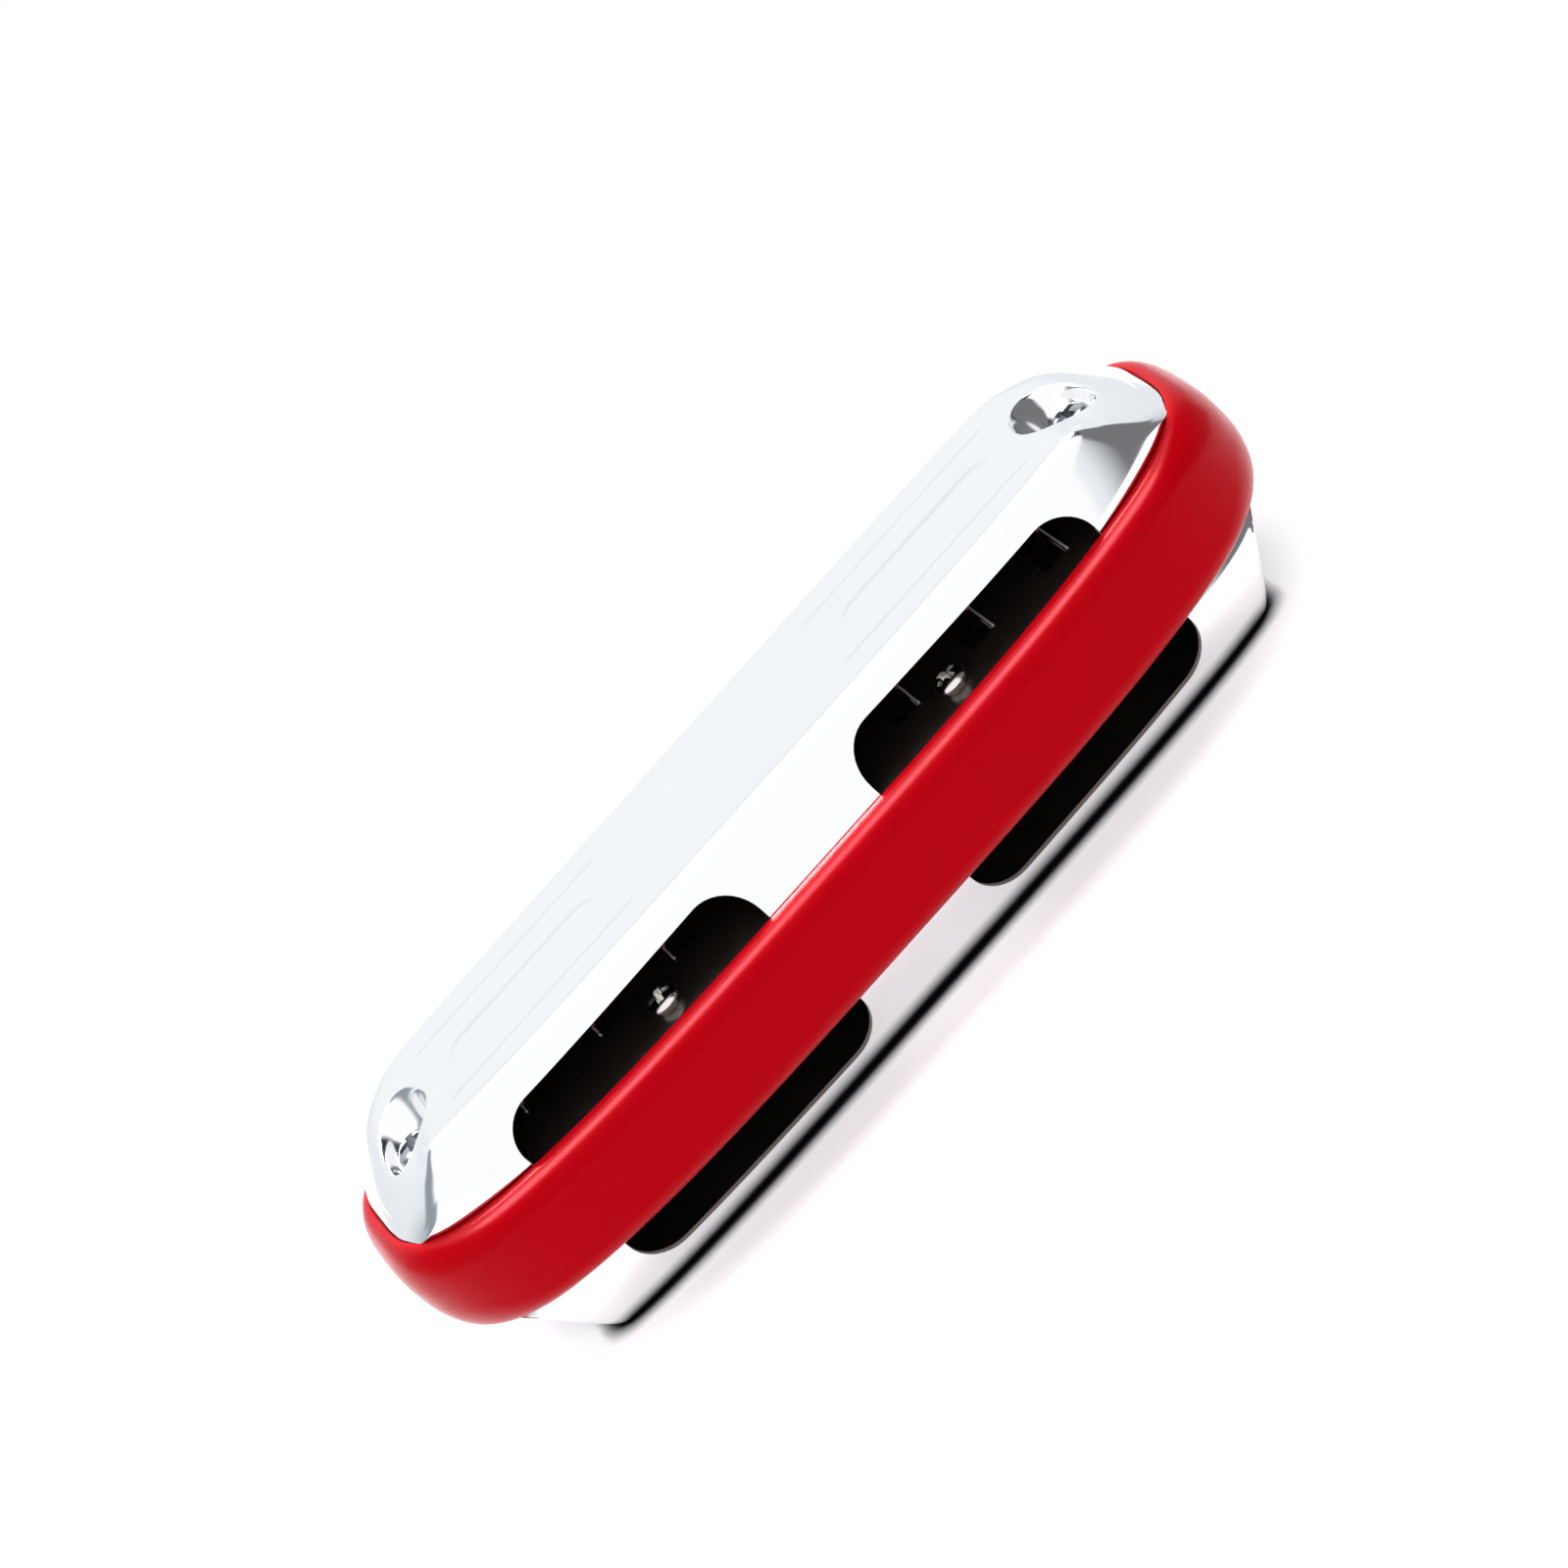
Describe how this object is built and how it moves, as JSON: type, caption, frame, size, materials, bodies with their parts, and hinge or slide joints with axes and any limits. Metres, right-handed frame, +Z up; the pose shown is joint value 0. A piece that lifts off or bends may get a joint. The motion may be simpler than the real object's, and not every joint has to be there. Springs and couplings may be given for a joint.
{
  "type": "blues harmonica",
  "caption": "Small diatonic blues harmonica with a red moulded comb, chromed covers, windows at the back and free reeds on two plates.",
  "frame": {"origin": "under the middle of the instrument, on the surface that its bottom cover lies on", "axes": "+X along the instrument from hole 1 towards the last hole, -Y out of the mouthpiece, +Z up through the top cover"},
  "size_m": [0.0852, 0.0284, 0.0208],
  "materials": {
    "red_plastic": "glossy moulded",
    "chromed_sheet": "polished",
    "plate_brass": "smooth rolled",
    "reed_brass": "smooth rolled",
    "screw_steel": "plated"
  },
  "bodies": {
    "harmonica": {"comb": "red_plastic", "top_cover": "chromed_sheet", "bottom_cover": "chromed_sheet", "blow_reed_plate": "plate_brass", "draw_reed_plate": "plate_brass", "blow_reed_pads": "reed_brass", "draw_reed_pads": "reed_brass", "blow_reed_rivets": "reed_brass", "draw_reed_rivets": "reed_brass", "reed_plate_screws": "screw_steel", "cover_screws": "screw_steel", "cover_nuts": "screw_steel"},
    "blow_reed_1": {"blow_reed_1": "reed_brass"},
    "draw_reed_1": {"draw_reed_1": "reed_brass"},
    "blow_reed_2": {"blow_reed_2": "reed_brass"},
    "draw_reed_2": {"draw_reed_2": "reed_brass"},
    "blow_reed_3": {"blow_reed_3": "reed_brass"},
    "draw_reed_3": {"draw_reed_3": "reed_brass"},
    "blow_reed_4": {"blow_reed_4": "reed_brass"},
    "draw_reed_4": {"draw_reed_4": "reed_brass"},
    "blow_reed_5": {"blow_reed_5": "reed_brass"},
    "draw_reed_5": {"draw_reed_5": "reed_brass"},
    "blow_reed_6": {"blow_reed_6": "reed_brass"},
    "draw_reed_6": {"draw_reed_6": "reed_brass"},
    "blow_reed_7": {"blow_reed_7": "reed_brass"},
    "draw_reed_7": {"draw_reed_7": "reed_brass"},
    "blow_reed_8": {"blow_reed_8": "reed_brass"},
    "draw_reed_8": {"draw_reed_8": "reed_brass"}
  },
  "joints": [
    {"name": "blow_reed_1_swing", "type": "hinge", "parent": "harmonica", "child": "blow_reed_1", "pos_m": [-0.02625, -0.0078, 0.01345], "axis": [1, 0, 0], "range_deg": [-4, 4], "stiffness_Nm_per_rad": 0.01},
    {"name": "draw_reed_1_swing", "type": "hinge", "parent": "harmonica", "child": "draw_reed_1", "pos_m": [-0.02625, 0.0064, 0.00615], "axis": [-1, 0, 0], "range_deg": [-4, 4], "stiffness_Nm_per_rad": 0.01},
    {"name": "blow_reed_2_swing", "type": "hinge", "parent": "harmonica", "child": "blow_reed_2", "pos_m": [-0.01875, -0.0078, 0.01345], "axis": [1, 0, 0], "range_deg": [-4, 4], "stiffness_Nm_per_rad": 0.01},
    {"name": "draw_reed_2_swing", "type": "hinge", "parent": "harmonica", "child": "draw_reed_2", "pos_m": [-0.01875, 0.00586, 0.00615], "axis": [-1, 0, 0], "range_deg": [-4, 4], "stiffness_Nm_per_rad": 0.01},
    {"name": "blow_reed_3_swing", "type": "hinge", "parent": "harmonica", "child": "blow_reed_3", "pos_m": [-0.01125, -0.0078, 0.01345], "axis": [1, 0, 0], "range_deg": [-4, 4], "stiffness_Nm_per_rad": 0.01},
    {"name": "draw_reed_3_swing", "type": "hinge", "parent": "harmonica", "child": "draw_reed_3", "pos_m": [-0.01125, 0.00531, 0.00615], "axis": [-1, 0, 0], "range_deg": [-4, 4], "stiffness_Nm_per_rad": 0.01},
    {"name": "blow_reed_4_swing", "type": "hinge", "parent": "harmonica", "child": "blow_reed_4", "pos_m": [-0.00375, -0.0078, 0.01345], "axis": [1, 0, 0], "range_deg": [-4, 4], "stiffness_Nm_per_rad": 0.01},
    {"name": "draw_reed_4_swing", "type": "hinge", "parent": "harmonica", "child": "draw_reed_4", "pos_m": [-0.00375, 0.00477, 0.00615], "axis": [-1, 0, 0], "range_deg": [-4, 4], "stiffness_Nm_per_rad": 0.01},
    {"name": "blow_reed_5_swing", "type": "hinge", "parent": "harmonica", "child": "blow_reed_5", "pos_m": [0.00375, -0.0078, 0.01345], "axis": [1, 0, 0], "range_deg": [-4, 4], "stiffness_Nm_per_rad": 0.01},
    {"name": "draw_reed_5_swing", "type": "hinge", "parent": "harmonica", "child": "draw_reed_5", "pos_m": [0.00375, 0.00423, 0.00615], "axis": [-1, 0, 0], "range_deg": [-4, 4], "stiffness_Nm_per_rad": 0.01},
    {"name": "blow_reed_6_swing", "type": "hinge", "parent": "harmonica", "child": "blow_reed_6", "pos_m": [0.01125, -0.0078, 0.01345], "axis": [1, 0, 0], "range_deg": [-4, 4], "stiffness_Nm_per_rad": 0.01},
    {"name": "draw_reed_6_swing", "type": "hinge", "parent": "harmonica", "child": "draw_reed_6", "pos_m": [0.01125, 0.00369, 0.00615], "axis": [-1, 0, 0], "range_deg": [-4, 4], "stiffness_Nm_per_rad": 0.01},
    {"name": "blow_reed_7_swing", "type": "hinge", "parent": "harmonica", "child": "blow_reed_7", "pos_m": [0.01875, -0.0078, 0.01345], "axis": [1, 0, 0], "range_deg": [-4, 4], "stiffness_Nm_per_rad": 0.01},
    {"name": "draw_reed_7_swing", "type": "hinge", "parent": "harmonica", "child": "draw_reed_7", "pos_m": [0.01875, 0.00314, 0.00615], "axis": [-1, 0, 0], "range_deg": [-4, 4], "stiffness_Nm_per_rad": 0.01},
    {"name": "blow_reed_8_swing", "type": "hinge", "parent": "harmonica", "child": "blow_reed_8", "pos_m": [0.02625, -0.0078, 0.01345], "axis": [1, 0, 0], "range_deg": [-4, 4], "stiffness_Nm_per_rad": 0.01},
    {"name": "draw_reed_8_swing", "type": "hinge", "parent": "harmonica", "child": "draw_reed_8", "pos_m": [0.02625, 0.0026, 0.00615], "axis": [-1, 0, 0], "range_deg": [-4, 4], "stiffness_Nm_per_rad": 0.01}
  ]
}
